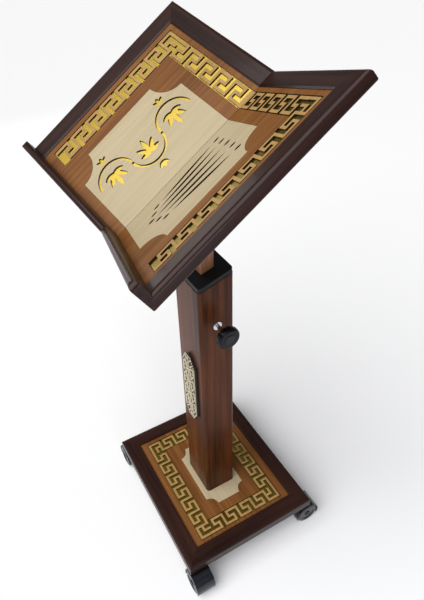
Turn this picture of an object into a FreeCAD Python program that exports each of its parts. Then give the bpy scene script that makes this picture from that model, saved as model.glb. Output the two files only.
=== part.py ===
"""Reading stand for a large open book: a castored framed base, a hollow column with a clamped inner
post that slides up and down, and a fixed V-shaped rest of two framed leaves with page stops.

Millimetres. +Z is up, the reader stands at -Y and looks along +Y, +X is on the reader's right.
The origin is on the floor, on the column's axis."""
import FreeCAD, Part
import math
import os

from FreeCAD import Placement, Rotation, Vector

# ---- base -----------------------------------------------------------------------------------
base_length = 472.0            # along X
base_depth = 400.0             # along Y
caster_height = 80.0           # floor to the underside of the base
base_rail_width = 44.0
base_rail_height = 34.0
base_rail_round = 6.0
base_rail_step_width = 8.0     # small step along the rail's outer top edge
base_rail_step_depth = 3.0
rebate_width = 14.0            # how far panels tuck under a rail's lip
base_panel_recess = 8.0        # rail top down to the panel
panel_thickness = 3.0
gold_thickness = 1.0
fit_gap = 0.4                  # glued or dropped-in pieces, all round
bevel_width = 4.0
bevel_drop = 1.5

# ---- key pattern borders --------------------------------------------------------------------
key_band = 41.0                # width of one meander band
key_rows = 5                   # rows of line and gap across the band
key_outline = 1.8              # dark channel each side of the band
key_slim = 0.7                 # taken off each side of the line, so the gaps are wider
base_key_margin_x = 14.0       # panel opening to the band, along X
base_key_margin_y = 23.0
base_key_units_x = 6
base_key_units_y = 4
leaf_key_margin = 13.0
leaf_key_units_top = 5
leaf_key_units_side = 7

# ---- medallions -----------------------------------------------------------------------------
base_medallion_length = 212.0
base_medallion_depth = 124.0
base_medallion_notch = 26.0    # radius of the hollow corners
leaf_medallion_half = 193.0    # fold to the medallion's edge
leaf_medallion_low = 22.0      # page stop to the medallion
leaf_medallion_height = 283.0
leaf_medallion_notch = 49.0
fold_kerf = 0.4                # each medallion stops this far short of the fold
stroke_width = 5.6             # pierced ornament
scroll_rows = 3
reed_count = 5

# ---- column ---------------------------------------------------------------------------------
column_width = 120.0           # along X
column_depth = 90.0            # along Y
board_thickness = 16.0
column_round = 9.0
column_front_height = 747.0    # above the base's rails, at the front
column_back_height = 775.0
cap_thickness = 12.0
cap_inset = 1.0
guide_height = 70.0
guide_below_top = 14.0
plaque_width = 72.0
plaque_height = 244.0
plaque_low = 283.0             # above the base's rails
plaque_point = 32.0            # height of each pointed end
plaque_rim = 3.0
plaque_back_thickness = 3.0
plaque_thickness = 4.0

# ---- post and clamp -------------------------------------------------------------------------
post_width = 45.0              # along X
post_depth = 34.0              # along Y
post_round = 3.0
post_inside = 450.0            # length below the column's top at rest
slide_gap = 0.5                # flat sliding fits, each side
shoe_height = 45.0
shoe_tenon = 8.0
clamp_height = 640.0           # clamp axis above the base's rails
stud_radius = 5.0
thread_gap = 0.05
stud_free_length = 27.0        # bare stud between the flange and the knob's neck
insert_radius = 8.0
flange_radius = 11.0
flange_thickness = 2.0
knob_radius = 28.0
knob_thickness = 18.0
knob_round = 7.0
knob_neck_radius = 12.0
knob_neck_length = 9.0
knob_lobes = 8
knob_lobe_radius = 5.0
knob_lobe_depth = 1.6
pad_radius = 9.0
pad_thickness = 5.0
pad_gap = 0.3

# ---- rest -----------------------------------------------------------------------------------
rest_tilt = 34.9               # slope of the fold above level, degrees
leaf_lift = 19.0               # each leaf's rise from the fold, degrees
fold_low_y = -197.0            # low end of the fold, at the rails' top surface
fold_low_height = 907.0        # above the base's rails
leaf_width = 318.0
leaf_length = 449.0
leaf_rail_width = 43.0
leaf_thickness = 24.0
leaf_rail_round = 9.0
leaf_back_round = 4.0
leaf_lip = 3.0                 # rail top down to the panel
leaf_back_thickness = 9.0
stop_thickness = 16.0
stop_height = 32.0
stop_rebate = 8.0
stop_round = 7.0
stop_end_round = 12.0
stop_groove = 1.0              # shadow line where the stop meets the panel
keel_width = 96.0
keel_depth = 26.0              # below the back boards, on the fold
keel_inset = 60.0              # from the leaf's low edge and from its top edge
head_plate_length = 150.0
head_plate_width = 84.0
head_plate_thickness = 4.0
socket_wall = 18.0
socket_height = 60.0           # at its middle

# ---- casters --------------------------------------------------------------------------------
caster_inset = 28.0            # swivel axis from the base's edges
caster_trail = 26.0
wheel_radius = 33.0
wheel_width = 20.0
wheel_round = 5.0
wheel_side_gap = 1.0           # wheel to the hood's web
web_width = 13.0
hood_gap = 1.5
hood_wall = 2.5
hood_start = -25.0             # hood arc, degrees from its trailing end over the top
hood_end = 196.0
caster_plate = 42.0
caster_plate_thickness = 2.5
pin_radius = 5.5
pin_length = 24.0
boss_radius = 10.0
axle_radius = 4.0
run_gap = 0.05
hub_radius = 9.0
hub_recess = 2.0
caster_turns = [0.0, 180.0, 90.0, 180.0]   # where each caster trails at rest, degrees from +X

# ---- screws ---------------------------------------------------------------------------------
screw_radius = 2.0
screw_head_radius = 3.6
screw_head_height = 1.6
screw_length = 16.0
long_screw = 34.0
screw_inset = 6.0              # caster plate corner to its screw

REACH = 1000.0                 # longer than any cutter needs to be

# ---- places that follow from the sizes ------------------------------------------------------
base_top = caster_height + base_rail_height
panel_top = base_top - base_panel_recess
panel_bottom = panel_top - panel_thickness
core_top = panel_bottom - gold_thickness
opening_x = base_length / 2 - base_rail_width
opening_y = base_depth / 2 - base_rail_width
bore_x = column_width / 2 - board_thickness
bore_y = column_depth / 2 - board_thickness
column_front_top = base_top + column_front_height
column_back_top = base_top + column_back_height
column_slope = math.degrees(math.atan2(column_back_height - column_front_height, column_depth))
column_mid_top = (column_front_top + column_back_top) / 2
clamp_z = base_top + clamp_height
post_bottom = column_mid_top - post_inside
fold_low_z = base_top + fold_low_height
tilt = math.radians(rest_tilt)
lift = math.radians(leaf_lift)
panel_floor = leaf_lip + panel_thickness
gold_floor = panel_floor + gold_thickness
back_floor = gold_floor + leaf_back_thickness
leaf_open_x = leaf_width - leaf_rail_width
leaf_open_y = leaf_length - leaf_rail_width
keel_floor = back_floor / math.cos(lift) + keel_depth
stem_x = base_length / 2 - caster_inset
stem_y = base_depth / 2 - caster_inset


# ---- small shape helpers --------------------------------------------------------------------
def block(x0, x1, y0, y1, z0, z1):
    return Part.makeBox(x1 - x0, y1 - y0, z1 - z0, Vector(x0, y0, z0))


def rod(radius, length, start, direction):
    return Part.makeCylinder(radius, length, start, direction)


def outline(corners):
    """Closed wire in the XY plane through corners (x, y, radius), rounded where radius > 0."""
    ends = []
    count = len(corners)
    for i, (x, y, radius) in enumerate(corners):
        here = Vector(x, y, 0)
        back = (Vector(*corners[i - 1][:2], 0) - here).normalize()
        ahead = (Vector(*corners[(i + 1) % count][:2], 0) - here).normalize()
        if radius <= 0:
            ends.append((here, None, here))
            continue
        half = back.getAngle(ahead) / 2
        middle = (back + ahead).normalize()
        reach = radius / math.tan(half)
        bulge = here + middle * (radius / math.sin(half) - radius)
        ends.append((here + back * reach, bulge, here + ahead * reach))
    edges = []
    for i, (start, bulge, end) in enumerate(ends):
        if bulge is not None:
            edges.append(Part.Arc(start, bulge, end).toShape())
        following = ends[(i + 1) % count][0]
        if end.distanceToPoint(following) > 1e-6:
            edges.append(Part.LineSegment(end, following).toShape())
    return Part.Wire(edges)


def slab(corners, z0, z1):
    face = Part.Face(outline(corners))
    face.translate(Vector(0, 0, z0))
    return face.extrude(Vector(0, 0, z1 - z0))


def spun(corners):
    """Solid of revolution about Z of an outline given as (radius, height, round)."""
    face = Part.Face(outline(corners))
    face.rotate(Vector(0, 0, 0), Vector(1, 0, 0), 90)
    return face.revolve(Vector(0, 0, 0), Vector(0, 0, 1), 360)


def along_x(corners, x0, x1):
    """Outline given as (y, z, round), run along X."""
    face = Part.Face(outline(corners))
    face.Placement = Placement(Vector(x0, 0, 0), Rotation(Vector(1, 1, 1), 120))
    return face.extrude(Vector(x1 - x0, 0, 0))


def turned(shape, degrees, axis=Vector(0, 0, 1), centre=Vector(0, 0, 0)):
    copy = shape.copy()
    copy.rotate(centre, axis, degrees)
    return copy


def moved(shape, x, y, z):
    copy = shape.copy()
    copy.translate(Vector(x, y, z))
    return copy


def notched_plate(x0, x1, y0, y1, z0, z1, notch, corners):
    """Rectangular plate with a hollow quarter circle cut at each listed corner."""
    plate = block(x0, x1, y0, y1, z0, z1)
    for x, y in corners:
        plate = plate.cut(rod(notch, z1 - z0 + 2, Vector(x, y, z0 - 1), Vector(0, 0, 1)))
    return plate


def screw(x, y, z, length):
    """Countersunk-style wood screw, driven up, its head at z."""
    head = rod(screw_head_radius, screw_head_height, Vector(x, y, z), Vector(0, 0, 1))
    return head.fuse(rod(screw_radius, length, Vector(x, y, z), Vector(0, 0, 1)))


# ---- meander borders ------------------------------------------------------------------------
def key_path(units, corner):
    """Cells (along, across) the meander's line runs through, row 0 on the outer edge."""
    runs = []
    start = 0
    if corner:
        runs += [((0, 4), (0, 0)), ((0, 0), (4, 0)), ((4, 2), (2, 2)), ((2, 2), (2, 4))]
        start = 4
    for unit in range(units):
        a = start + 6 * unit
        points = [(a, 0), (a, 4), (a + 4, 4), (a + 4, 2), (a + 2, 2), (a + 2, 0), (a + 6, 0)]
        runs += list(zip(points, points[1:]))
    return runs


def key_strip(units, corner, cell, z0, z1):
    """One side of a border: along +X from the origin, row 0 at y = 0 and inner rows at -y."""
    row = key_band / key_rows
    bars = []
    for (a0, r0), (a1, r1) in key_path(units, corner):
        low_x, high_x = min(a0, a1) * cell + key_slim, (max(a0, a1) + 1) * cell - key_slim
        low_y, high_y = -(max(r0, r1) + 1) * row + key_slim, -min(r0, r1) * row - key_slim
        bars.append(block(low_x, high_x, low_y, high_y, z0, z1))
    strip = bars[0].multiFuse(bars[1:])
    return strip.removeSplitter()


# ---- base -----------------------------------------------------------------------------------
def base_rails():
    """Four mitred rails: stepped and rounded outside, a lip over the panel inside."""
    inner = base_rail_width
    shelf = base_rail_width - rebate_width
    lip = panel_top - caster_height
    profile = [
        (0, 0, 2.0),
        (0, base_rail_height - base_rail_step_depth, base_rail_round),
        (base_rail_step_width, base_rail_height - base_rail_step_depth, 0),
        (base_rail_step_width, base_rail_height, 1.0),
        (inner - bevel_width, base_rail_height, 0),
        (inner, base_rail_height - bevel_drop, 0),
        (inner, lip, 0),
        (shelf, lip, 0),
        (shelf, 0, 0),
    ]
    rails = {}
    for name, turn, length, depth in (
        ("front", 0, base_length, base_depth),
        ("right", 90, base_depth, base_length),
        ("back", 180, base_length, base_depth),
        ("left", 270, base_depth, base_length),
    ):
        bar = along_x([(y - depth / 2, z + caster_height, r) for y, z, r in profile], -length / 2, length / 2)
        half, edge = length / 2, -depth / 2
        plan = [(-half, edge, 0), (half, edge, 0), (half - inner, edge + inner, 0), (-half + inner, edge + inner, 0)]
        bar = bar.common(slab(plan, 0, base_top + 1))
        rails[f"base_{name}_rail"] = turned(bar, turn)
    return rails


def base_panels():
    """Core board, gold sheet, two panels with the border channel between, and the medallion."""
    tuck_x = opening_x + rebate_width - fit_gap
    tuck_y = opening_y + rebate_width - fit_gap
    key_x = opening_x - base_key_margin_x
    key_y = opening_y - base_key_margin_y
    through = (column_width / 2 + fit_gap, column_depth / 2 + fit_gap)
    hole = slab(
        [(x * through[0], y * through[1], column_round) for x, y in ((-1, -1), (1, -1), (1, 1), (-1, 1))],
        core_top,
        base_top,
    )
    parts = {}
    parts["base_core_board"] = block(-tuck_x, tuck_x, -tuck_y, tuck_y, caster_height, core_top)
    gold = block(-tuck_x, tuck_x, -tuck_y, tuck_y, core_top, panel_bottom)
    parts["base_gold_sheet"] = gold.cut(hole)
    out_x, out_y = key_x + key_outline, key_y + key_outline
    in_x, in_y = key_x - key_band - key_outline, key_y - key_band - key_outline
    margin = block(-tuck_x, tuck_x, -tuck_y, tuck_y, panel_bottom, panel_top)
    parts["base_margin_panel"] = margin.cut(block(-out_x, out_x, -out_y, out_y, 0, base_top))
    half_x, half_y = base_medallion_length / 2, base_medallion_depth / 2
    corners = [(x * half_x, y * half_y) for x in (-1, 1) for y in (-1, 1)]
    medallion = notched_plate(
        -half_x, half_x, -half_y, half_y, panel_bottom, panel_top, base_medallion_notch, corners
    )
    grown = half_x + fit_gap, half_y + fit_gap
    window = notched_plate(
        -grown[0], grown[0], -grown[1], grown[1], 0, base_top, base_medallion_notch - fit_gap, corners
    )
    field = block(-in_x, in_x, -in_y, in_y, panel_bottom, panel_top)
    parts["base_field_panel"] = field.cut(window)
    parts["base_medallion"] = medallion.cut(hole)
    row = key_band / key_rows
    cells_x = (2 * key_x - key_band + row) / (5 + 6 * base_key_units_x)
    cells_y = (2 * key_y - key_band + row) / (5 + 6 * base_key_units_y)
    strips = []
    for turn, units, cell, side_x, side_y in (
        (0, base_key_units_x, cells_x, -key_x, key_y),
        (180, base_key_units_x, cells_x, -key_x, key_y),
        (90, base_key_units_y, cells_y, -key_y, key_x),
        (270, base_key_units_y, cells_y, -key_y, key_x),
    ):
        strip = moved(key_strip(units, True, cell, panel_bottom, panel_top), side_x, side_y, 0)
        strips.append(turned(strip, turn))
    parts["base_key_border"] = strips[0].multiFuse(strips[1:]).removeSplitter()
    return parts


def base_screws():
    """Caster plate screws and the screws that hold the column down."""
    offset = caster_plate / 2 - screw_inset
    under = caster_height - caster_plate_thickness - screw_head_height
    screws = []
    for sx in (-1, 1):
        for sy in (-1, 1):
            for dx in (-1, 1):
                for dy in (-1, 1):
                    x = sx * stem_x + dx * offset
                    y = sy * stem_y + dy * offset
                    screws.append(screw(x, y, under, screw_length))
            x = sx * (column_width - board_thickness) / 2
            y = sy * bore_y / 2
            screws.append(screw(x, y, caster_height, long_screw))
    return Part.makeCompound(screws)


# ---- column ---------------------------------------------------------------------------------
def under_column_top(shape, drop=0.0):
    """Trims a shape with the column's sloping top plane, lowered by drop."""
    keep = Part.makeBox(REACH, REACH, REACH, Vector(-REACH / 2, -REACH / 2, -REACH))
    keep.rotate(Vector(0, 0, 0), Vector(1, 0, 0), column_slope)
    keep.translate(Vector(0, 0, column_mid_top - drop))
    return shape.common(keep)


def column_boards():
    half_x, half_y = column_width / 2, column_depth / 2
    top = column_back_top + column_depth
    front = [
        (-half_x, -half_y, column_round),
        (half_x, -half_y, column_round),
        (half_x, -bore_y, 0),
        (-half_x, -bore_y, 0),
    ]
    front_board = slab(front, core_top, top)
    back_board = turned(front_board, 180)
    right_board = block(bore_x, half_x, -bore_y, bore_y, core_top, top)
    insert_hole = rod(insert_radius, REACH, Vector(0, 0, clamp_z), Vector(1, 0, 0))
    parts = {
        "column_front_board": front_board,
        "column_back_board": back_board,
        "column_right_board": right_board.cut(insert_hole),
        "column_left_board": turned(right_board, 180),
    }
    pilot = Part.makeCompound([screw(sx * (half_x - board_thickness / 2), sy * bore_y / 2, caster_height,
                                     long_screw) for sx in (-1, 1) for sy in (-1, 1)])
    for name in ("column_right_board", "column_left_board"):
        parts[name] = parts[name].cut(pilot)
    return {name: under_column_top(shape) for name, shape in parts.items()}


def post_outline(gap):
    x, y = post_width / 2 + gap, post_depth / 2 + gap
    return [(-x, -y, post_round), (x, -y, post_round), (x, y, post_round), (-x, y, post_round)]


def column_top():
    """Sloping cap plate and the guide block under it, both bored for the post."""
    half_x, half_y = column_width / 2 - cap_inset, column_depth / 2 - cap_inset
    plan = [(x * half_x, y * half_y, column_round - cap_inset) for x, y in ((-1, -1), (1, -1), (1, 1), (-1, 1))]
    solid = slab(plan, column_front_top - REACH / 2, column_back_top + REACH / 2)
    cap = under_column_top(solid, -cap_thickness).cut(under_column_top(solid))
    bore = slab(post_outline(slide_gap), 0, column_back_top + REACH)
    guide_top = column_front_top - guide_below_top
    guide = block(-bore_x, bore_x, -bore_y, bore_y, guide_top - guide_height, guide_top)
    return {"column_cap": cap.cut(bore), "post_guide_block": guide.cut(bore)}


def pointed_plate(width, height, point, y0, y1, centre_z):
    """Upright plate with pointed ends on the column's front, from y0 forward to y1."""
    half, tall = width / 2, height / 2
    corners = [
        (-half, -tall + point, 3.0),
        (0, -tall, 2.0),
        (half, -tall + point, 3.0),
        (half, tall - point, 3.0),
        (0, tall, 2.0),
        (-half, tall - point, 3.0),
    ]
    face = Part.Face(outline(corners))
    face.rotate(Vector(0, 0, 0), Vector(1, 0, 0), 90)
    face.translate(Vector(0, y0, centre_z))
    return face.extrude(Vector(0, y1 - y0, 0))


def plaque():
    front = -column_depth / 2
    middle = base_top + plaque_low + plaque_height / 2
    back = pointed_plate(plaque_width, plaque_height, plaque_point, front, front - plaque_back_thickness, middle)
    inner_width = plaque_width - 2 * plaque_rim
    inner_height = plaque_height - 2 * plaque_rim
    face_y = front - plaque_back_thickness
    inner = pointed_plate(inner_width, inner_height, plaque_point, face_y, face_y - plaque_thickness, middle)
    outer_edges = [e for e in inner.Edges if abs(e.BoundBox.YMin - e.BoundBox.YMax) < 1e-4
                   and e.BoundBox.YMax < face_y - plaque_thickness / 2]
    return {"plaque_back_plate": back, "column_plaque": inner.makeChamfer(plaque_thickness / 4, outer_edges)}


# ---- clamp ----------------------------------------------------------------------------------
def on_clamp_axis(shape, x):
    """A shape modelled up +Z is laid along +X on the clamp's axis, its foot at x."""
    copy = shape.copy()
    copy.rotate(Vector(0, 0, 0), Vector(0, 1, 0), 90)
    copy.translate(Vector(x, 0, clamp_z))
    return copy


def clamp():
    face = column_width / 2
    insert = rod(insert_radius, board_thickness, Vector(0, 0, -board_thickness), Vector(0, 0, 1))
    insert = insert.fuse(rod(flange_radius, flange_thickness, Vector(0, 0, 0), Vector(0, 0, 1)))
    bore = rod(stud_radius + thread_gap, REACH, Vector(0, 0, -REACH / 2), Vector(0, 0, 1))
    pad_x = post_width / 2 + pad_gap
    neck_x = face + flange_thickness + stud_free_length
    knob_x = neck_x + knob_neck_length
    stud_start = pad_x + pad_thickness / 2 + pad_gap
    stud_end = knob_x + knob_thickness / 2
    stud = rod(stud_radius, stud_end - stud_start, Vector(0, 0, 0), Vector(0, 0, 1))
    pad = rod(pad_radius, pad_thickness, Vector(0, 0, 0), Vector(0, 0, 1))
    socket = rod(stud_radius + thread_gap, REACH, Vector(0, 0, pad_thickness / 2), Vector(0, 0, 1))
    profile = [
        (0, 0, 0),
        (knob_neck_radius, 0, 1.5),
        (knob_neck_radius, knob_neck_length, 0),
        (knob_radius, knob_neck_length, knob_round * 0.6),
        (knob_radius, knob_neck_length + knob_thickness, knob_round),
        (0, knob_neck_length + knob_thickness, 0),
    ]
    knob = spun(profile)
    for lobe in range(knob_lobes):
        angle = 2 * math.pi * lobe / knob_lobes
        reach = knob_radius + knob_lobe_radius - knob_lobe_depth
        spot = Vector(reach * math.cos(angle), reach * math.sin(angle), knob_neck_length)
        knob = knob.cut(rod(knob_lobe_radius, REACH, spot, Vector(0, 0, 1)))
    knob = knob.cut(rod(stud_radius, stud_end - neck_x, Vector(0, 0, 0), Vector(0, 0, 1)))
    return {
        "clamp_insert": on_clamp_axis(insert.cut(bore), face),
        "clamp_stud": on_clamp_axis(stud, stud_start),
        "clamp_knob": on_clamp_axis(knob, neck_x),
        "clamp_pad": on_clamp_axis(pad.cut(socket), pad_x),
    }


# ---- rest frame of reference ----------------------------------------------------------------
def tilted(shape):
    """Local x stays X, local y runs up the fold, local z is square to it."""
    copy = shape.copy()
    copy.Placement = Placement(Vector(0, fold_low_y, fold_low_z), Rotation(Vector(1, 0, 0), rest_tilt)).multiply(
        copy.Placement
    )
    return copy


def right_leaf(shape):
    """Local x runs out from the fold across the right leaf; trimmed on the fold's plane."""
    copy = shape.copy()
    copy.Placement = Placement(Vector(0, 0, 0), Rotation(Vector(0, 1, 0), -leaf_lift)).multiply(copy.Placement)
    keep = Part.makeBox(REACH, 2 * REACH, 4 * REACH, Vector(0, -REACH, -2 * REACH))
    return tilted(copy).common(keep)


def mirrored(shape):
    return shape.mirror(Vector(0, 0, 0), Vector(1, 0, 0))


def both_leaves(name, shape, parts):
    placed = right_leaf(shape)
    parts[f"right_{name}"] = placed
    parts[f"left_{name}"] = mirrored(placed)


# ---- post and head --------------------------------------------------------------------------
def under_rest(shape, depth):
    """Keeps what is below the plane that lies depth under the fold, square to the rest's tilt."""
    keep = tilted(Part.makeBox(2 * REACH, 2 * REACH, REACH, Vector(-REACH, -REACH, -REACH - depth)))
    return shape.common(keep)


def post_and_head():
    plate_floor = keel_floor + head_plate_thickness
    head_z = fold_low_z - fold_low_y * math.tan(tilt) - plate_floor / math.cos(tilt)
    post = under_rest(slab(post_outline(0), post_bottom, head_z + REACH / 2), plate_floor)
    tenon_x, tenon_y = post_width / 2 - shoe_tenon, post_depth / 2 - shoe_tenon
    tenon = block(-tenon_x, tenon_x, -tenon_y, tenon_y, post_bottom - shoe_height, post_bottom)
    shoe_x, shoe_y = bore_x - slide_gap, bore_y - slide_gap
    shoe = block(-shoe_x, shoe_x, -shoe_y, shoe_y, post_bottom - shoe_height, post_bottom).cut(tenon)
    socket_x, socket_y = post_width / 2 + socket_wall, post_depth / 2 + socket_wall
    socket = block(-socket_x, socket_x, -socket_y, socket_y, head_z - socket_height, head_z + REACH / 2)
    socket = under_rest(socket, plate_floor)
    socket = socket.cut(slab(post_outline(0), 0, head_z + REACH))
    middle = -fold_low_y / math.cos(tilt) - keel_floor * math.tan(tilt)
    plate = block(
        -head_plate_width / 2,
        head_plate_width / 2,
        middle - head_plate_length / 2,
        middle + head_plate_length / 2,
        -plate_floor,
        -keel_floor,
    )
    screws = []
    for sx in (-1, 1):
        for sy in (-1, 1):
            x = sx * (head_plate_width / 2 - 2 * screw_inset)
            y = middle + sy * (head_plate_length / 2 - 2 * screw_inset)
            screws.append(screw(x, y, -plate_floor - screw_head_height, screw_length))
    screws = Part.makeCompound(screws)
    return {
        "inner_post": post.fuse(tenon).removeSplitter(),
        "post_shoe": shoe,
        "head_socket": socket,
        "head_plate": tilted(plate.cut(screws)),
        "head_screws": tilted(screws),
        "rest_keel": tilted(keel(screws)),
    }


def keel(screws):
    """Beam under the fold: flat below, V-shaped above to carry both back boards."""
    half = keel_width / 2
    rise = (half * math.sin(lift) - back_floor) / math.cos(lift)
    middle = -back_floor / math.cos(lift)
    corners = [(0, middle, 0), (-half, rise, 0), (-half, -keel_floor, 3.0), (half, -keel_floor, 3.0), (half, rise, 0)]
    face = Part.Face(outline(corners))
    face.rotate(Vector(0, 0, 0), Vector(1, 0, 0), 90)
    face.translate(Vector(0, keel_inset, 0))
    return face.extrude(Vector(0, leaf_length - 2 * keel_inset, 0)).cut(screws)


# ---- leaves ---------------------------------------------------------------------------------
def leaf_rails(parts):
    inner = leaf_rail_width
    shelf = leaf_rail_width - rebate_width
    profile = [
        (0, -leaf_thickness, leaf_back_round),
        (0, 0, leaf_rail_round),
        (inner - bevel_width, 0, 0),
        (inner, -bevel_drop, 0),
        (inner, -leaf_lip, 0),
        (shelf, -leaf_lip, 0),
        (shelf, -leaf_thickness, 0),
    ]
    past_fold = -2 * leaf_thickness
    bar = along_x([(leaf_length - y, z, r) for y, z, r in profile], past_fold, leaf_width)
    plan = [
        (past_fold, leaf_length, 0),
        (leaf_width, leaf_length, 0),
        (leaf_width - inner, leaf_length - inner, 0),
        (past_fold, leaf_length - inner, 0),
    ]
    both_leaves("leaf_top_rail", bar.common(slab(plan, -REACH, REACH)), parts)
    low_end = stop_thickness - stop_rebate
    side = along_x([(y - leaf_width, z, r) for y, z, r in profile], low_end, leaf_length)
    side = turned(side, 90)
    plan = [
        (leaf_width, low_end, 0),
        (leaf_width, leaf_length, 0),
        (leaf_width - inner, leaf_length - inner, 0),
        (leaf_width - inner, low_end, 0),
    ]
    under_stop = block(-REACH, REACH, -REACH, stop_thickness - stop_groove, -leaf_lip, REACH)
    side = side.common(slab(plan, -REACH, REACH)).cut(under_stop)
    both_leaves("leaf_side_rail", side, parts)


def page_stops(parts):
    """L-shaped low rail of each leaf: its upstand keeps the book from sliding off."""
    past_fold = -2 * leaf_thickness
    profile = [
        (0, -leaf_thickness, leaf_back_round),
        (0, stop_height, stop_round),
        (stop_thickness, stop_height, stop_round),
        (stop_thickness, 0, 0),
        (stop_thickness - stop_groove, 0, 0),
        (stop_thickness - stop_groove, -leaf_lip, 0),
        (stop_thickness - stop_rebate, -leaf_lip, 0),
        (stop_thickness - stop_rebate, -leaf_thickness, 0),
    ]
    bar = along_x(profile, past_fold, leaf_width)
    face = Part.Face(outline([
        (past_fold, -leaf_thickness, 0),
        (leaf_width, -leaf_thickness, leaf_back_round),
        (leaf_width, stop_height, stop_end_round),
        (past_fold, stop_height, 0),
    ]))
    face.rotate(Vector(0, 0, 0), Vector(1, 0, 0), 90)
    front = face.extrude(Vector(0, 2 * REACH, 0))
    front.translate(Vector(0, -REACH, 0))
    both_leaves("page_stop", bar.common(front), parts)


def ring_stroke(x, y, radius, start, end, z0, z1):
    """Curved slot cutter: an arc of stroke_width with round ends, angles in degrees."""
    half = stroke_width / 2
    tube = Part.makeCylinder(radius + half, z1 - z0, Vector(x, y, z0), Vector(0, 0, 1), end - start)
    tube = tube.cut(Part.makeCylinder(radius - half, z1 - z0, Vector(x, y, z0), Vector(0, 0, 1)))
    tube.rotate(Vector(x, y, 0), Vector(0, 0, 1), start)
    pieces = [tube]
    for angle in (math.radians(start), math.radians(end)):
        spot = Vector(x + radius * math.cos(angle), y + radius * math.sin(angle), z0)
        pieces.append(Part.makeCylinder(half, z1 - z0, spot, Vector(0, 0, 1)))
    return pieces[0].multiFuse(pieces[1:])


def petal(x, y, length, width, degrees, z0, z1):
    """Pointed leaf cutter between two arcs, its foot at (x, y), pointing along degrees."""
    foot, tip = Vector(0, 0, z0), Vector(length, 0, z0)
    upper = Part.Arc(foot, Vector(length / 2, width / 2, z0), tip).toShape()
    lower = Part.Arc(tip, Vector(length / 2, -width / 2, z0), foot).toShape()
    shape = Part.Face(Part.Wire([upper, lower])).extrude(Vector(0, 0, z1 - z0))
    return moved(turned(shape, degrees), x, y, 0)


def scrollwork(x_mid, y_low, y_high, z0, z1):
    """Running vine: half-circle waves up the medallion, a fan of petals inside each wave."""
    radius = (y_high - y_low) / (2 * scroll_rows)
    cutters = []
    for wave in range(scroll_rows):
        y = y_low + (2 * wave + 1) * radius
        side = 1 if wave % 2 == 0 else -1
        outward = 0 if side > 0 else 180
        gap = 5.0
        cutters.append(ring_stroke(x_mid, y, radius, outward - 90 + gap, outward + 90 - gap, z0, z1))
        foot = x_mid + side * 0.42 * radius
        for turn, reach in ((-76, 0.62), (-38, 0.86), (0, 1.0), (38, 0.86), (76, 0.62)):
            cutters.append(petal(foot, y, reach * radius, 0.25 * radius, outward + 180 + turn, z0, z1))
        tip = x_mid + side * 1.2 * radius
        for turn in (-42, 0, 42):
            cutters.append(petal(tip, y, 0.42 * radius, 0.19 * radius, outward + turn, z0, z1))
    return cutters


def reeds(x_mid, x_spread, y_low, y_high, z0, z1):
    """Sheaf of long slender blades beside the fold, a drop-shaped petal beyond each end."""
    height = y_high - y_low
    cutters = []
    for index in range(reed_count):
        off_middle = index - (reed_count - 1) / 2
        degrees = 90 - 3.5 * off_middle
        x = x_mid + off_middle * x_spread / reed_count
        length = height * (0.66 - 0.05 * abs(off_middle))
        y = y_low + (height - length) / 2 + 6 * abs(off_middle)
        cutters.append(petal(x, y, length, 1.7 * stroke_width, degrees, z0, z1))
        lean = math.radians(degrees)
        past = length + 5
        tip_x, tip_y = x + past * math.cos(lean), y + past * math.sin(lean)
        cutters.append(petal(tip_x, tip_y, 3 * stroke_width, 1.3 * stroke_width, degrees, z0, z1))
        low_x, low_y = x - 5 * math.cos(lean), y - 5 * math.sin(lean)
        cutters.append(petal(low_x, low_y, 3 * stroke_width, 1.3 * stroke_width, degrees + 180, z0, z1))
    return cutters


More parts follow.
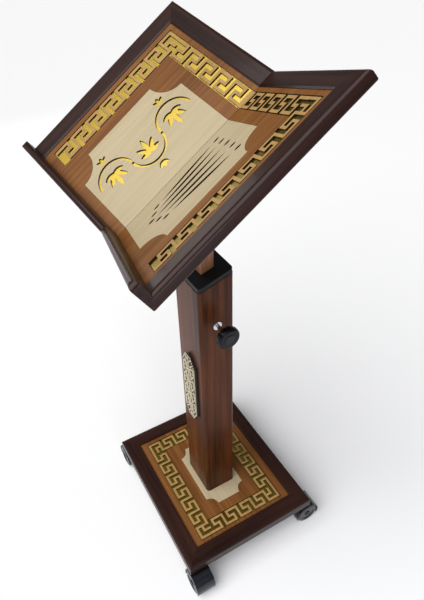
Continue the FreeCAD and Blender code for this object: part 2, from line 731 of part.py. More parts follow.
def leaf_inlay(parts):
    """Each leaf's back board, gold sheet, panel, border line and pierced medallion."""
    past_fold = -2 * leaf_thickness
    tuck_x = leaf_open_x + rebate_width - fit_gap
    tuck_top = leaf_open_y + rebate_width - fit_gap
    tuck_low = stop_thickness - stop_rebate + fit_gap
    both_leaves("leaf_back_board", block(past_fold, tuck_x, tuck_low, tuck_top, -back_floor, -gold_floor), parts)
    gold = right_leaf(block(past_fold, tuck_x, tuck_low, tuck_top, -gold_floor, -panel_floor))
    parts["leaf_gold_sheets"] = Part.makeCompound([gold, mirrored(gold)])

    key_x = leaf_open_x - leaf_key_margin
    key_y = leaf_open_y - leaf_key_margin
    medallion_low = stop_thickness + leaf_medallion_low
    medallion_high = medallion_low + leaf_medallion_height
    notches = [(leaf_medallion_half, medallion_low), (leaf_medallion_half, medallion_high)]
    window = notched_plate(
        past_fold,
        leaf_medallion_half + fit_gap,
        medallion_low - fit_gap,
        medallion_high + fit_gap,
        -REACH,
        REACH,
        leaf_medallion_notch - fit_gap,
        notches,
    )
    panel = block(past_fold, tuck_x, tuck_low, tuck_top, -panel_floor, -leaf_lip).cut(window)
    key_low = medallion_low - key_outline
    channel = block(past_fold, key_x + key_outline, key_y - key_band - key_outline, key_y + key_outline, -REACH, REACH)
    side_channel = block(key_x - key_band - key_outline, key_x + key_outline, key_low, key_y, -REACH, REACH)
    both_leaves("leaf_panel", panel.cut(channel).cut(side_channel), parts)

    top_cell = (key_x - key_band + key_band / key_rows) / (1 + 6 * leaf_key_units_top)
    top = moved(key_strip(leaf_key_units_top, False, top_cell, -panel_floor, -leaf_lip), 0, key_y, 0)
    fold_piece = block(past_fold, top_cell, key_y - key_band, key_y, -panel_floor, -leaf_lip)
    side_cell = (key_y - medallion_low) / (5 + 6 * leaf_key_units_side)
    side = key_strip(leaf_key_units_side, True, side_cell, -panel_floor, -leaf_lip)
    side = moved(turned(side, -90), key_x, key_y, 0)
    border = right_leaf(top.multiFuse([fold_piece, side]).removeSplitter())
    parts["leaf_key_borders"] = Part.makeCompound([border, mirrored(border)])

    notches = [(leaf_medallion_half, medallion_low), (leaf_medallion_half, medallion_high)]
    medallion = notched_plate(
        past_fold,
        leaf_medallion_half,
        medallion_low,
        medallion_high,
        -panel_floor,
        -leaf_lip,
        leaf_medallion_notch,
        notches,
    )
    margin = leaf_medallion_notch / 3
    low, high = medallion_low + margin, medallion_high - margin
    vine = Part.makeCompound(scrollwork(leaf_medallion_half / 2, low, high, -REACH / 2, REACH / 2))
    half = leaf_medallion_half / 2
    sheaf = Part.makeCompound(reeds(half - margin / 2, half, low, high, -REACH / 2, REACH / 2))
    kerf = block(-fold_kerf, fold_kerf, -REACH, REACH, 0, 4 * REACH)
    parts["left_leaf_medallion"] = mirrored(right_leaf(medallion.cut(vine))).cut(kerf)
    parts["right_leaf_medallion"] = right_leaf(medallion.cut(sheaf)).cut(kerf)


# ---- casters --------------------------------------------------------------------------------
def at_caster(shape, x, y, degrees):
    return moved(turned(shape, degrees), x, y, 0)


def caster_plates():
    half = caster_plate / 2
    under = caster_height - caster_plate_thickness
    corners = [(x * half, y * half, 4.0) for x, y in ((-1, -1), (1, -1), (1, 1), (-1, 1))]
    plate = slab(corners, under, caster_height)
    plate = plate.fuse(rod(pin_radius, pin_length, Vector(0, 0, under - pin_length), Vector(0, 0, 1)))
    offset = half - screw_inset
    for dx in (-1, 1):
        for dy in (-1, 1):
            spot = Vector(dx * offset, dy * offset, under)
            plate = plate.cut(rod(screw_radius, caster_plate_thickness, spot, Vector(0, 0, 1)))
    return Part.makeCompound([moved(plate, sx * stem_x, sy * stem_y, 0) for sx in (-1, 1) for sy in (-1, 1)])


def caster_hood():
    """Web with the swivel boss and axle bore, and a curved cover over both wheels."""
    inner = wheel_radius + hood_gap
    outer = inner + hood_wall
    half = web_width / 2 + wheel_side_gap + wheel_width
    centre = Vector(caster_trail, 0, wheel_radius)
    along = Vector(0, 1, 0)
    shell = rod(outer, 2 * half, centre - along * half, along).cut(rod(inner, 2 * half, centre - along * half, along))
    sector = Part.makeCylinder(2 * outer, 2 * half, Vector(0, 0, 0), Vector(0, 0, 1), hood_end - hood_start)
    sector.rotate(Vector(0, 0, 0), Vector(0, 0, 1), hood_start)
    sector.rotate(Vector(0, 0, 0), Vector(1, 0, 0), 90)
    sector.translate(centre + along * half)
    shell = shell.common(sector)
    web = rod(outer - hood_wall / 2, web_width, centre - along * (web_width / 2), along)
    floor_gap = wheel_radius / 2
    web = web.common(block(-REACH, REACH, -REACH, REACH, floor_gap, REACH))
    boss_top = caster_height - caster_plate_thickness - hood_gap / 2
    boss_low = boss_top - pin_length - hood_wall
    boss = rod(boss_radius, boss_top - boss_low, Vector(0, 0, boss_low), Vector(0, 0, 1))
    for side in (-1, 1):
        start = centre + along * (side * web_width / 2)
        room = rod(inner, half, start, along * side)
        boss = boss.cut(room)
    hood = shell.multiFuse([web, boss])
    bore = rod(pin_radius + run_gap, REACH, Vector(0, 0, boss_low + hood_wall), Vector(0, 0, 1))
    axle_hole = rod(axle_radius, 2 * half, centre - along * half, along)
    return hood.cut(bore).cut(axle_hole)


def caster_axle():
    half = web_width / 2 + wheel_side_gap + wheel_width
    return rod(axle_radius, 2 * half, Vector(caster_trail, -half, wheel_radius), Vector(0, 1, 0))


def caster_wheel(side):
    """Solid tread with a recessed face and a raised hub, free on the axle."""
    width = wheel_width
    profile = [
        (axle_radius + run_gap, 0, 0),
        (wheel_radius, 0, 1.5),
        (wheel_radius, width, wheel_round),
        (wheel_radius - 2 * wheel_round, width, 1.0),
        (wheel_radius - 2 * wheel_round - hub_recess, width - hub_recess, 0),
        (hub_radius + hub_recess, width - hub_recess, 0),
        (hub_radius, width, 1.0),
        (axle_radius + run_gap, width, 0),
    ]
    wheel = turned(spun(profile), -90 * side, Vector(1, 0, 0))
    return moved(wheel, caster_trail, side * (web_width / 2 + wheel_side_gap), wheel_radius)


def casters():
    parts = {"caster_plates": caster_plates()}
    spots = [(1, -1), (-1, -1), (1, 1), (-1, 1)]
    for index, ((sx, sy), turn) in enumerate(zip(spots, caster_turns), start=1):
        place = (sx * stem_x, sy * stem_y, turn)
        parts[f"caster_{index}_hood"] = at_caster(caster_hood(), *place)
        parts[f"caster_{index}_axle"] = at_caster(caster_axle(), *place)
        parts[f"caster_{index}_wheel_a"] = at_caster(caster_wheel(1), *place)
        parts[f"caster_{index}_wheel_b"] = at_caster(caster_wheel(-1), *place)
    return parts


# ---- whole stand ----------------------------------------------------------------------------
def build():
    parts = {}
    parts.update(base_rails())
    parts.update(base_panels())
    screws = base_screws()
    parts["base_screws"] = screws
    for name in ("base_core_board", "base_front_rail", "base_back_rail", "base_left_rail", "base_right_rail"):
        parts[name] = parts[name].cut(screws)
    parts.update(column_boards())
    parts.update(column_top())
    parts.update(plaque())
    parts.update(clamp())
    parts.update(post_and_head())
    leaf_rails(parts)
    page_stops(parts)
    leaf_inlay(parts)
    parts.update(casters())
    return parts


os.makedirs("parts", exist_ok=True)
for node, shape in build().items():
    shape.exportStep(f"parts/{node}.step")
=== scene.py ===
import math

import bmesh
import bpy
from mathutils import Matrix, Vector


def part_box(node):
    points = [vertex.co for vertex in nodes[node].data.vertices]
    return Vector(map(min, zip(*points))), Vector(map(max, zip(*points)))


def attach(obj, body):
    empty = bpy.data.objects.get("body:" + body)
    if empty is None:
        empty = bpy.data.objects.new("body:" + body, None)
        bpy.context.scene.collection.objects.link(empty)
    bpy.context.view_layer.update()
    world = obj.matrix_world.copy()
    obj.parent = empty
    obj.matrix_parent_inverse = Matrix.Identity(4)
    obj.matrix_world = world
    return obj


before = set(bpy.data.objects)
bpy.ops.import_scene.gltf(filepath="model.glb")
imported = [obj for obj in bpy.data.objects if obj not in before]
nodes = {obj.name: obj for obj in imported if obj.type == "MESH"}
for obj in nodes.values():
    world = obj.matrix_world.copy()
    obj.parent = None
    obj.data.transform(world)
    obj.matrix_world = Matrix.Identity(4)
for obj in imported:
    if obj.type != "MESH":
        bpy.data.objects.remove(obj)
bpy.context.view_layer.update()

# ---- Studio: a pale seamless floor under broad soft light -------------------------------------
# The floor is matt and nearly white. A broad overhead light comes from above and behind the reader,
# a little from the right. Two soft boxes put sheen on the lacquer, and a dim surround fills shadows.
floor_half_size, floor_tone = 30.0, 0.93
fill_strength, seen_strength = 0.16, 0.96
overhead_strength, overhead_spread = 3.3, math.radians(62)
overhead_travel = Vector((-0.15, 0.55, -0.82))
floor_mesh = bpy.data.meshes.new("studio_floor")
floor_build = bmesh.new()
bmesh.ops.create_grid(floor_build, x_segments=1, y_segments=1, size=floor_half_size)
floor_build.to_mesh(floor_mesh)
floor_build.free()
floor = bpy.data.objects.new("studio_floor", floor_mesh)
bpy.context.scene.collection.objects.link(floor)
floor_paint = bpy.data.materials.new("studio_floor")
floor_paint.use_nodes = True
floor_shader = floor_paint.node_tree.nodes["Principled BSDF"]
floor_shader.inputs["Base Color"].default_value = (floor_tone, floor_tone, floor_tone, 1)
floor_shader.inputs["Roughness"].default_value = 0.9
floor_shader.inputs["Specular IOR Level"].default_value = 0.1
floor_mesh.materials.append(floor_paint)

surround = bpy.data.worlds.new("studio_surround")
surround.use_nodes = True
walls = surround.node_tree
dim_wall = walls.nodes["Background"]
dim_wall.inputs["Color"].default_value = (1.0, 1.0, 1.0, 1)
dim_wall.inputs["Strength"].default_value = fill_strength
seen_wall = walls.nodes.new("ShaderNodeBackground")
seen_wall.inputs["Color"].default_value = (1.0, 1.0, 1.0, 1)
seen_wall.inputs["Strength"].default_value = seen_strength
sight = walls.nodes.new("ShaderNodeLightPath")
either_wall = walls.nodes.new("ShaderNodeMixShader")
walls.links.new(sight.outputs["Is Camera Ray"], either_wall.inputs["Fac"])
walls.links.new(dim_wall.outputs["Background"], either_wall.inputs[1])
walls.links.new(seen_wall.outputs["Background"], either_wall.inputs[2])
walls.links.new(either_wall.outputs["Shader"], walls.nodes["World Output"].inputs["Surface"])
bpy.context.scene.world = surround
bpy.context.scene.view_settings.view_transform = "Standard"


def soft_box(name, spot, aim, size, watts, tint=(1.0, 1.0, 1.0)):
    """Round soft light at a spot, turned towards the point it aims at."""
    lamp = bpy.data.lights.new(name, "AREA")
    lamp.shape = "DISK"
    lamp.size = size
    lamp.energy = watts
    lamp.color = tint
    holder = bpy.data.objects.new(name, lamp)
    bpy.context.scene.collection.objects.link(holder)
    holder.location = spot
    holder.rotation_euler = (Vector(aim) - Vector(spot)).to_track_quat("-Z", "Y").to_euler()


overhead = bpy.data.lights.new("overhead_light", "SUN")
overhead.energy = overhead_strength
overhead.angle = overhead_spread
overhead_holder = bpy.data.objects.new("overhead_light", overhead)
bpy.context.scene.collection.objects.link(overhead_holder)
overhead_holder.rotation_euler = overhead_travel.to_track_quat("-Z", "Y").to_euler()
soft_box("side_box", spot=(-3.5, -0.4, 1.4), aim=(0, 0, 1.0), size=1.6, watts=9)
soft_box("window_box", spot=(2.9, -0.5, 1.5), aim=(0, 0, 0.8), size=0.8, watts=13, tint=(0.66, 0.74, 1.0))

# ---- Camera: standing beside the reader's right shoulder, looking down along the stand --------
# The eye is about 1.6 m up, and the frame is upright with a slight roll, as when held by hand.
# The focal length and the lens shifts are shares of the frame's height.
eye = Vector((0.8572, -0.4552, 1.5879))
heading, pitch, roll = math.radians(152.31), math.radians(-37.83), math.radians(-2.57)
focal_share, side_shift, height_shift = 0.90098, 0.01798, -0.02618
sensor_height = 36.0
lens_camera = bpy.data.cameras.new("camera")
lens_camera.sensor_fit = "VERTICAL"
lens_camera.sensor_height = sensor_height
lens_camera.lens = focal_share * sensor_height
lens_camera.shift_x = side_shift
lens_camera.shift_y = height_shift
camera = bpy.data.objects.new("camera", lens_camera)
bpy.context.scene.collection.objects.link(camera)
level_reach = math.cos(pitch)
forward = Vector((level_reach * math.cos(heading), level_reach * math.sin(heading), math.sin(pitch)))
level_right = forward.cross(Vector((0, 0, 1))).normalized()
level_up = level_right.cross(forward)
right = math.cos(roll) * level_right + math.sin(roll) * level_up
up = math.cos(roll) * level_up - math.sin(roll) * level_right
turn = Matrix((right, up, -forward)).transposed().to_4x4()
camera.matrix_world = Matrix.Translation(eye) @ turn
bpy.context.scene.camera = camera

# ---- Base frame and every other espresso-stained member ----------------------------------------
# Four mitred rails of hardwood, stained nearly black with a purple-brown cast and sprayed with
# gloss lacquer. The grain runs along each rail and only just shows through the stain.


def new_group(name, inputs, outputs):
    """Empty shader group with named sockets, and its input and output nodes."""
    group = bpy.data.node_groups.new(name, "ShaderNodeTree")
    for label, kind, value in inputs:
        socket = group.interface.new_socket(name=label, in_out="INPUT", socket_type=kind)
        if value is not None:
            socket.default_value = value
    for label, kind in outputs:
        group.interface.new_socket(name=label, in_out="OUTPUT", socket_type=kind)
    return group, group.nodes.new("NodeGroupInput"), group.nodes.new("NodeGroupOutput")


def build_grain_group():
    """Grain stretched along local X: slow figure, fine streaks and short pores."""
    group, source, result = new_group(
        "wood_grain",
        [
            ("Vector", "NodeSocketVector", None),
            ("Scale", "NodeSocketFloat", 1.0),
            ("Dark", "NodeSocketColor", (0.02, 0.01, 0.01, 1)),
            ("Light", "NodeSocketColor", (0.06, 0.03, 0.02, 1)),
            ("Pores", "NodeSocketFloat", 0.3),
        ],
        [("Color", "NodeSocketColor"), ("Height", "NodeSocketFloat")],
    )
    make, link = group.nodes.new, group.links.new
    scaled = make("ShaderNodeVectorMath")
    scaled.operation = "SCALE"
    link(source.outputs["Vector"], scaled.inputs[0])
    link(source.outputs["Scale"], scaled.inputs["Scale"])
    layers = []
    figure, streaks, pores = ((1.2, 14, 14), 3.0), ((3, 90, 90), 4.0), ((14, 520, 520), 2.0)
    for stretch, detail in (figure, streaks, pores):
        squeeze = make("ShaderNodeVectorMath")
        squeeze.operation = "MULTIPLY"
        squeeze.inputs[1].default_value = stretch
        link(scaled.outputs[0], squeeze.inputs[0])
        noise = make("ShaderNodeTexNoise")
        noise.inputs["Scale"].default_value = 1.0
        noise.inputs["Detail"].default_value = detail
        noise.inputs["Roughness"].default_value = 0.55
        link(squeeze.outputs[0], noise.inputs["Vector"])
        layers.append(noise.outputs["Fac"])
    blend = make("ShaderNodeMath")
    blend.operation = "ADD"
    link(layers[0], blend.inputs[0])
    link(layers[1], blend.inputs[1])
    tone = make("ShaderNodeMapRange")
    tone.inputs["From Min"].default_value = 0.72
    tone.inputs["From Max"].default_value = 1.28
    link(blend.outputs[0], tone.inputs["Value"])
    mixed = make("ShaderNodeMix")
    mixed.data_type = "RGBA"
    link(tone.outputs["Result"], mixed.inputs["Factor"])
    link(source.outputs["Dark"], mixed.inputs["A"])
    link(source.outputs["Light"], mixed.inputs["B"])
    pore = make("ShaderNodeMapRange")
    pore.inputs["From Min"].default_value = 0.36
    pore.inputs["From Max"].default_value = 0.44
    pore.inputs["To Min"].default_value = 1.0
    pore.inputs["To Max"].default_value = 0.0
    link(layers[2], pore.inputs["Value"])
    depth = make("ShaderNodeMath")
    depth.operation = "MULTIPLY"
    link(pore.outputs["Result"], depth.inputs[0])
    link(source.outputs["Pores"], depth.inputs[1])
    inked = make("ShaderNodeMix")
    inked.data_type = "RGBA"
    link(depth.outputs[0], inked.inputs["Factor"])
    link(mixed.outputs["Result"], inked.inputs["A"])
    link(source.outputs["Dark"], inked.inputs["B"])
    hollow = make("ShaderNodeMath")
    hollow.operation = "SUBTRACT"
    link(layers[1], hollow.inputs[0])
    link(depth.outputs[0], hollow.inputs[1])
    link(inked.outputs["Result"], result.inputs["Color"])
    link(hollow.outputs[0], result.inputs["Height"])
    return group


wood_grain = build_grain_group()


def grain_wood(name, along, dark, light, rough, coat, pores=0.3, scale=1.0, bump=0.15, shine=0.3):
    """Stained or natural wood whose grain runs along the given direction."""
    material = bpy.data.materials.new(name)
    material.use_nodes = True
    tree = material.node_tree
    shader = tree.nodes["Principled BSDF"]
    place = tree.nodes.new("ShaderNodeTexCoord")
    aim = tree.nodes.new("ShaderNodeMapping")
    aim.vector_type = "TEXTURE"
    aim.inputs["Rotation"].default_value = Vector(along).to_track_quat("X", "Z").to_euler()
    tree.links.new(place.outputs["Object"], aim.inputs["Vector"])
    grain = tree.nodes.new("ShaderNodeGroup")
    grain.node_tree = wood_grain
    grain.inputs["Scale"].default_value = scale
    grain.inputs["Dark"].default_value = (*dark, 1)
    grain.inputs["Light"].default_value = (*light, 1)
    grain.inputs["Pores"].default_value = pores
    tree.links.new(aim.outputs["Vector"], grain.inputs["Vector"])
    tree.links.new(grain.outputs["Color"], shader.inputs["Base Color"])
    relief = tree.nodes.new("ShaderNodeBump")
    relief.inputs["Strength"].default_value = bump
    relief.inputs["Distance"].default_value = 0.0004
    tree.links.new(grain.outputs["Height"], relief.inputs["Height"])
    tree.links.new(relief.outputs["Normal"], shader.inputs["Normal"])
    shader.inputs["Roughness"].default_value = rough
    shader.inputs["Specular IOR Level"].default_value = shine
    shader.inputs["Coat Weight"].default_value = coat
    shader.inputs["Coat Roughness"].default_value = 0.08
    return material


def dress(material, *names):
    """Give each named piece this one material."""
    for name in names:
        slots = nodes[name].data.materials
        slots.clear()
        slots.append(material)


def espresso(name, along):
    """Espresso-stained member under gloss lacquer, its grain along the member."""
    return grain_wood(name, along, espresso_dark, espresso_light, rough=0.34, coat=0.10, shine=0.16)


espresso_dark, espresso_light = (0.0100, 0.0036, 0.0028), (0.042, 0.0160, 0.0112)
espresso_x = espresso("espresso_rail_x", (1, 0, 0))
espresso_y = espresso("espresso_rail_y", (0, 1, 0))
dress(espresso_x, "base_front_rail", "base_back_rail")
dress(espresso_y, "base_left_rail", "base_right_rail")

# ---- Core board, guide block, shoe and back boards ----------------------------------------------
# Plain brown board that is only seen from underneath and behind. It is wiped with matt stain and
# left unlacquered.
plain_board = grain_wood("plain_board", (1, 0, 0), (0.07, 0.035, 0.02), (0.14, 0.075, 0.042), 0.6, 0.0)
dress(
    plain_board,
    "base_core_board",
    "post_guide_block",
    "post_shoe",
    "left_leaf_back_board",
    "right_leaf_back_board",
)

# ---- Rest geometry ------------------------------------------------------------------------------
# The fold rises away from the reader, and each leaf lifts from it. The directions below follow
# from that slope and lift; panels, inlay and stops all lie along them.
rest_tilt, leaf_lift = math.radians(34.9), math.radians(19.0)
up_fold = Vector((0, math.cos(rest_tilt), math.sin(rest_tilt)))
off_fold = Vector((0, -math.sin(rest_tilt), math.cos(rest_tilt)))
out_right = Vector((math.cos(leaf_lift), 0, 0)) + math.sin(leaf_lift) * off_fold
out_left = Vector((-math.cos(leaf_lift), 0, 0)) + math.sin(leaf_lift) * off_fold
face_right = out_right.cross(up_fold).normalized()
face_left = up_fold.cross(out_left).normalized()

espresso_up = espresso("espresso_rail_up", up_fold)
espresso_out_right = espresso("espresso_rail_right", out_right)
espresso_out_left = espresso("espresso_rail_left", out_left)
dress(espresso_up, "left_leaf_side_rail", "right_leaf_side_rail", "rest_keel")
dress(espresso_out_right, "right_leaf_top_rail", "right_page_stop")
dress(espresso_out_left, "left_leaf_top_rail", "left_page_stop")

# ---- Panels, border lines and medallions ----------------------------------------------------------
# Thin laser-cut veneered sheets laid on gold mirror sheet. Their faces are caramel, pale or
# ivory, and their cut edges are scorched dark brown.


def build_scorch_group():
    """Mask that is 1 on a sheet's cut walls and 0 on its face, from the angle to the face."""
    group, source, result = new_group(
        "scorched_edge",
        [("Facing", "NodeSocketVector", None)],
        [("Mask", "NodeSocketFloat")],
    )
    make, link = group.nodes.new, group.links.new
    place = make("ShaderNodeTexCoord")
    lean = make("ShaderNodeVectorMath")
    lean.operation = "DOT_PRODUCT"
    link(place.outputs["Normal"], lean.inputs[0])
    link(source.outputs["Facing"], lean.inputs[1])
    flat = make("ShaderNodeMath")
    flat.operation = "ABSOLUTE"
    link(lean.outputs["Value"], flat.inputs[0])
    mask = make("ShaderNodeMapRange")
    mask.inputs["From Min"].default_value = 0.55
    mask.inputs["From Max"].default_value = 0.85
    mask.inputs["To Min"].default_value = 1.0
    mask.inputs["To Max"].default_value = 0.0
    link(flat.outputs[0], mask.inputs["Value"])
    link(mask.outputs["Result"], result.inputs["Mask"])
    return group


scorched_edge = build_scorch_group()


def cut_sheet(name, along, facing, dark, light, rough, coat, pores, scorch=(0.012, 0.006, 0.003)):
    """Veneered sheet: grain on its face, scorched walls where the cutter went."""
    material = grain_wood(
        name, along, dark, light, rough, coat, pores, scale=1.6, bump=0.08, shine=0.15
    )
    tree = material.node_tree
    shader = tree.nodes["Principled BSDF"]
    grain_color = shader.inputs["Base Color"].links[0].from_socket
    edge = tree.nodes.new("ShaderNodeGroup")
    edge.node_tree = scorched_edge
    edge.inputs["Facing"].default_value = facing
    burnt = tree.nodes.new("ShaderNodeMix")
    burnt.data_type = "RGBA"
    tree.links.new(edge.outputs["Mask"], burnt.inputs["Factor"])
    tree.links.new(grain_color, burnt.inputs["A"])
    burnt.inputs["B"].default_value = (*scorch, 1)
    tree.links.new(burnt.outputs["Result"], shader.inputs["Base Color"])
    return material


caramel = ((0.130, 0.046, 0.012), (0.262, 0.108, 0.028), 0.45, 0.04, 0.35)
pale = ((0.330, 0.190, 0.066), (0.480, 0.300, 0.110), 0.45, 0.04, 0.15)
ivory = ((0.440, 0.355, 0.215), (0.520, 0.430, 0.275), 0.46, 0.05, 0.10)
straight_up = (0, 0, 1)
dress(cut_sheet("caramel_base", (1, 0, 0), straight_up, *caramel), "base_margin_panel", "base_field_panel")
dress(cut_sheet("pale_base", (1, 0, 0), straight_up, *pale), "base_key_border")
dress(cut_sheet("ivory_base", (1, 0, 0), straight_up, *ivory), "base_medallion")
for side, facing in (("left", face_left), ("right", face_right)):
    dress(cut_sheet(f"caramel_{side}", up_fold, facing, *caramel), f"{side}_leaf_panel")
    dress(cut_sheet(f"ivory_{side}", up_fold, facing, *ivory), f"{side}_leaf_medallion")
dress(cut_sheet("pale_leaves", up_fold, off_fold, *pale), "leaf_key_borders")

# ---- Gold mirror sheet ----------------------------------------------------------------------------
# Millimetre sheet with a gold film, laid under the cut panels of the base and of both leaves. It is
# seen only through the cuts.
gold = bpy.data.materials.new("gold_mirror")
gold.use_nodes = True
gold_shader = gold.node_tree.nodes["Principled BSDF"]
gold_shader.inputs["Metallic"].default_value = 1.0
gold_shader.inputs["Base Color"].default_value = (0.42, 0.30, 0.05, 1)
gold_shader.inputs["Roughness"].default_value = 0.30
dress(gold, "base_gold_sheet", "leaf_gold_sheets")

# ---- Column and cap ---------------------------------------------------------------------------------
# Four boards stained reddish brown, grain upright, under the same gloss lacquer; the cap is a
# satin black plate.
column_stain = ((0.018, 0.0052, 0.0020), (0.135, 0.0370, 0.0095), 0.34, 0.06)
column_wood = grain_wood("column_wood", (0, 0, 1), *column_stain, shine=0.1)
dress(column_wood, "column_front_board", "column_back_board", "column_left_board", "column_right_board")


def moulded(name, color, rough, metal=0.0, shine=0.5):
    """Plastic, paint or metal with a faint uneven sheen."""
    material = bpy.data.materials.new(name)
    material.use_nodes = True
    tree = material.node_tree
    shader = tree.nodes["Principled BSDF"]
    shader.inputs["Base Color"].default_value = (*color, 1)
    shader.inputs["Metallic"].default_value = metal
    shader.inputs["Specular IOR Level"].default_value = shine
    place = tree.nodes.new("ShaderNodeTexCoord")
    cloud = tree.nodes.new("ShaderNodeTexNoise")
    cloud.inputs["Scale"].default_value = 60.0
    cloud.inputs["Detail"].default_value = 3.0
    tree.links.new(place.outputs["Object"], cloud.inputs["Vector"])
    sheen = tree.nodes.new("ShaderNodeMapRange")
    sheen.inputs["To Min"].default_value = rough * 0.8
    sheen.inputs["To Max"].default_value = rough * 1.25
    tree.links.new(cloud.outputs["Fac"], sheen.inputs["Value"])
    tree.links.new(sheen.outputs["Result"], shader.inputs["Roughness"])
    return material


dress(moulded("black_cap", (0.007, 0.008, 0.009), 0.5, shine=0.25), "column_cap")
dress(moulded("black_steel", (0.015, 0.015, 0.016), 0.5), "head_plate")

# ---- Inner post -------------------------------------------------------------------------------------
# Natural light-brown hardwood, planed and oiled, grain upright. The wedge block glued on its top
# end, which carries the rest, is stained like the rails.
post_wood = grain_wood("post_wood", (0, 0, 1), (0.220, 0.090, 0.040), (0.420, 0.190, 0.090), 0.45, 0.1)
dress(post_wood, "inner_post")
dress(espresso_x, "head_socket")

# ---- Plaque -----------------------------------------------------------------------------------------
# Pointed panel on the column's front: a black rim plate and an ivory board; its ground is painted
# dark grey-brown as shade in the hollows between the carving. Leaves, rosettes and a beaded edge are
# carved proud of the ground and left pale.
dress(moulded("black_rim", (0.008, 0.007, 0.007), 0.3), "plaque_back_plate")
# Painted shade: the ground's colours are darkened to stand for the shade in the hollows between the
# carving.
ground = ((0.018, 0.013, 0.008), (0.050, 0.040, 0.027))
dress(grain_wood("plaque_ground_painted_shade", (0, 0, 1), *ground, 0.6, 0.0, pores=0.6, scale=2.0), "column_plaque")
plaque_low, plaque_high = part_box("column_plaque")
plaque_middle = (plaque_low + plaque_high) / 2
half_width = (plaque_high.x - plaque_low.x) / 2
half_height = (plaque_high.z - plaque_low.z) / 2
point_height, point_half = 0.029, 0.012
bead_pitch, bead_size, bead_rise = 0.0062, 0.0048, 0.0012
carving = bmesh.new()
bead_build = bmesh.new()
bmesh.ops.create_uvsphere(bead_build, u_segments=12, v_segments=8, radius=1.0)
bead_mesh = bpy.data.meshes.new("carved_bead")
bead_build.to_mesh(bead_mesh)
bead_build.free()


def raised_leaf(x, z, length, width, degrees, rise):
    """One carved leaf or bead, half sunk in the ground, its length along degrees from +X."""
    spin = Matrix.Rotation(math.radians(-degrees), 4, "Y")
    centre = Vector((plaque_middle.x + x, plaque_low.y, plaque_middle.z + z))
    size = Matrix.Diagonal((length / 2, rise, width / 2, 1))
    leaf = bead_mesh.copy()
    leaf.transform(Matrix.Translation(centre) @ spin @ size)
    carving.from_mesh(leaf)
    bpy.data.meshes.remove(leaf)


def beads_between(start, end, pitch, size):
    """Row of beads from one corner of the edge up to the next."""
    steps = max(1, round((end - start).length / pitch))
    for step in range(steps):
        spot = start.lerp(end, step / steps)
        raised_leaf(spot.x, spot.y, size, size, 0, bead_rise)


edge_x, edge_z = half_width - 0.004, half_height - 0.005
shoulder = edge_z - point_height
corners = [(-edge_x, -shoulder), (-edge_x, shoulder), (-point_half, edge_z), (point_half, edge_z)]
corners += [(edge_x, shoulder), (edge_x, -shoulder), (point_half, -edge_z), (-point_half, -edge_z)]
corners = [Vector(corner) for corner in corners]
for start, end in zip(corners, corners[1:] + corners[:1]):
    beads_between(start, end, bead_pitch, bead_size)
tiers = 4
tier_height = 2 * (shoulder + 0.004) / tiers
for tier in range(tiers):
    middle = (tier - (tiers - 1) / 2) * tier_height
    raised_leaf(0, middle, 0.0110, 0.0110, 0, 0.0030)
    for petal in range(6):
        turn = 360 / 6 * petal + 30
        away = Vector((math.cos(math.radians(turn)), math.sin(math.radians(turn)))) * 0.0115
        raised_leaf(away.x, middle + away.y, 0.0130, 0.0066, turn, 0.0024)
    for side in (-1, 1):
        for lift in (-1, 1):
            z = middle + lift * tier_height * 0.36
            raised_leaf(side * 0.0125, z + lift * 0.002, 0.0190, 0.0062, side * lift * 52, 0.0026)
            raised_leaf(side * 0.0225, z - lift * 0.004, 0.0150, 0.0056, side * lift * -62, 0.0024)
        raised_leaf(side * 0.0245, middle, 0.0110, 0.0070, 0, 0.0024)
for tier in range(tiers + 1):
    middle = (tier - tiers / 2) * tier_height
    raised_leaf(0, middle, 0.0150, 0.0070, 90, 0.0026)
for lift in (-1, 1):
    for degrees in (50, 90, 130):
        away = Vector((math.cos(math.radians(degrees)), math.sin(math.radians(degrees)))) * 0.012
        z = lift * (shoulder + 0.012 + away.y * 0.6)
        raised_leaf(away.x * 1.2, z, 0.0150, 0.0058, lift * degrees, 0.0024)
bpy.data.meshes.remove(bead_mesh)
carving_mesh = bpy.data.meshes.new("plaque_carving")
carving.to_mesh(carving_mesh)
carving.free()
for face in carving_mesh.polygons:
    face.use_smooth = True
plaque_carving = bpy.data.objects.new("plaque_carving", carving_mesh)
bpy.context.scene.collection.objects.link(plaque_carving)
carved_dark, carved_light = (0.44, 0.38, 0.27), (0.60, 0.53, 0.39)
carved = grain_wood("carved_ivory", (0, 0, 1), carved_dark, carved_light, 0.5, 0.05, scale=2.0)
carving_mesh.materials.append(carved)
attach(plaque_carving, "stand")

# ---- Clamp ------------------------------------------------------------------------------------------
# Chromed stud through a flanged threaded insert in the column's side, turned by a moulded black
# knob. A shallow round cap closes the knob's outer end.
chrome = moulded("chrome", (0.62, 0.62, 0.64), 0.12, metal=1.0)
black_plastic = moulded("black_plastic", (0.0020, 0.0023, 0.0042), 0.30, shine=0.2)
dress(chrome, "clamp_stud", "clamp_insert")
dress(black_plastic, "clamp_knob", "clamp_pad")


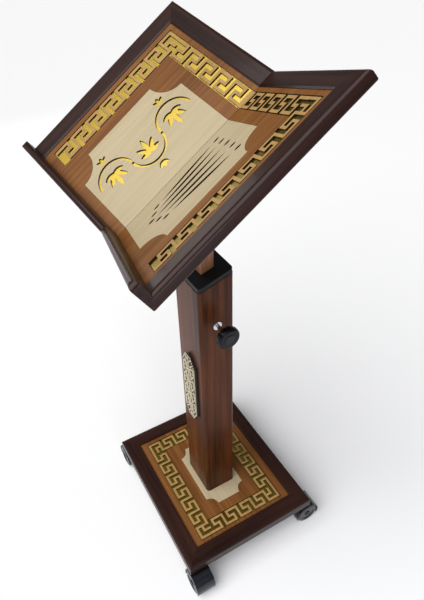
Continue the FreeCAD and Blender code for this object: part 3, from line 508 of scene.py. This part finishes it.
def turned_cap(name, centre, axis, radius, height, body, finish):
    """Shallow round cap with a softened rim, standing on a face along the given axis."""
    build = bmesh.new()
    aim = Vector(axis).to_track_quat("Z", "Y").to_matrix().to_4x4()
    place = Matrix.Translation(Vector(centre)) @ aim
    bmesh.ops.create_cone(
        build, cap_ends=True, segments=40, radius1=radius, radius2=radius, depth=2 * height
    )
    top = [edge for edge in build.edges if all(vert.co.z > 0 for vert in edge.verts)]
    bmesh.ops.bevel(
        build,
        geom=top,
        affect="EDGES",
        offset=height * 0.7,
        segments=3,
        profile=0.5,
        material=-1,
        clamp_overlap=True,
    )
    bmesh.ops.transform(build, matrix=place, verts=build.verts)
    mesh = bpy.data.meshes.new(name)
    build.to_mesh(mesh)
    build.free()
    for face in mesh.polygons:
        face.use_smooth = len(face.vertices) == 4
    cap = bpy.data.objects.new(name, mesh)
    bpy.context.scene.collection.objects.link(cap)
    mesh.materials.append(finish)
    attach(cap, body)


knob_low, knob_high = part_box("clamp_knob")
knob_middle = (knob_low + knob_high) / 2
knob_cap_radius, knob_cap_height = 0.0125, 0.0012
satin_black = moulded("satin_black_cap", (0.006, 0.007, 0.009), 0.42, shine=0.3)
turned_cap(
    "clamp_knob_cap",
    (knob_high.x, knob_middle.y, knob_middle.z),
    (1, 0, 0),
    knob_cap_radius,
    knob_cap_height,
    "clamp_screw",
    satin_black,
)

# ---- Casters ----------------------------------------------------------------------------------------
# Twin-wheel furniture casters with hoods and wheels of gloss black nylon, on zinc-plated plates and
# axles. Each wheel has a satin black hub cap pressed on its outer face.
hub_radius, hub_height = 0.0075, 0.0011
zinc = moulded("zinc", (0.62, 0.62, 0.63), 0.32, metal=1.0)
caster_nylon = moulded("caster_nylon", (0.0040, 0.0050, 0.0090), 0.25, shine=0.6)
dress(zinc, "caster_plates", "base_screws", "head_screws")
for number in range(1, 5):
    dress(zinc, f"caster_{number}_axle")
    for piece in ("hood", "wheel_a", "wheel_b"):
        dress(caster_nylon, f"caster_{number}_{piece}")
    for wheel in ("a", "b"):
        low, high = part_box(f"caster_{number}_wheel_{wheel}")
        hub = (low + high) / 2
        axle_low, axle_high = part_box(f"caster_{number}_axle")
        outward = (hub - (axle_low + axle_high) / 2).normalized()
        outer = hub + outward * abs((high - low).dot(outward)) / 2
        body = f"caster_{number}_wheel_{wheel}_body"
        name = f"caster_{number}_hub_{wheel}"
        turned_cap(name, outer, outward, hub_radius, hub_height, body, satin_black)
